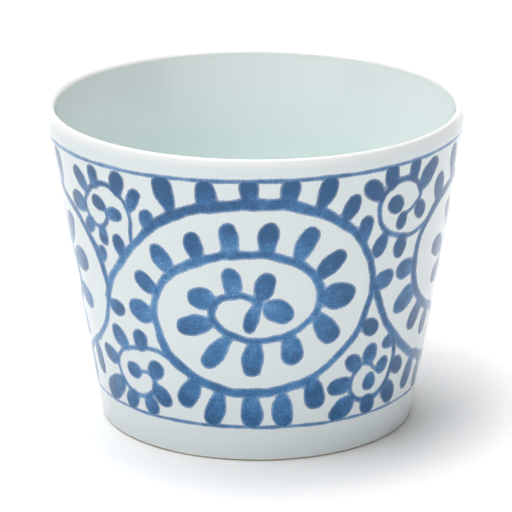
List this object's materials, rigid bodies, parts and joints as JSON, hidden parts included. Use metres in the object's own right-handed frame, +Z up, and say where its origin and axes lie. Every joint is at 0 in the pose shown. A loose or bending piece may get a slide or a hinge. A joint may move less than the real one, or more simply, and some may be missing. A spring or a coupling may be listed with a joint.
{
  "type": "teacup",
  "caption": "Handleless flared porcelain teacup with a rounded lip, a bare foot ring and a band of blue octopus-scroll brushwork between two ring lines.",
  "frame": {"origin": "centre of the circle that the foot ring stands on", "axes": "+Z up along the axis that the cup was turned on, -Y towards the side with the medallion called front, +X to the right of that side"},
  "size_m": [0.0848, 0.0848, 0.0655],
  "materials": {
    "bare_porcelain": "unglazed, fired to a warm buff, fine-grained and matt",
    "clear_glaze": "glossy transparent glaze with a faint blue-green cast over white porcelain",
    "cobalt_underglaze": "soft-edged cobalt brushwork sealed under glossy glaze"
  },
  "bodies": {
    "root": {"porcelain_body": "bare_porcelain", "glaze_coat": "clear_glaze", "foot_glaze": "clear_glaze", "upper_line": "cobalt_underglaze", "lower_line": "cobalt_underglaze", "front_medallion": "cobalt_underglaze", "front_centre_drop": "cobalt_underglaze", "front_upper_scroll": "cobalt_underglaze", "front_lower_scroll": "cobalt_underglaze", "right_medallion": "cobalt_underglaze", "right_centre_drop": "cobalt_underglaze", "right_upper_scroll": "cobalt_underglaze", "right_upper_drop": "cobalt_underglaze", "right_lower_scroll": "cobalt_underglaze", "right_lower_drop": "cobalt_underglaze", "back_medallion": "cobalt_underglaze", "back_centre_drop": "cobalt_underglaze", "back_upper_scroll": "cobalt_underglaze", "back_lower_scroll": "cobalt_underglaze", "left_medallion": "cobalt_underglaze", "left_centre_drop": "cobalt_underglaze", "left_upper_scroll": "cobalt_underglaze", "left_upper_drop": "cobalt_underglaze", "left_lower_scroll": "cobalt_underglaze", "left_lower_drop": "cobalt_underglaze"}
  },
  "joints": []
}
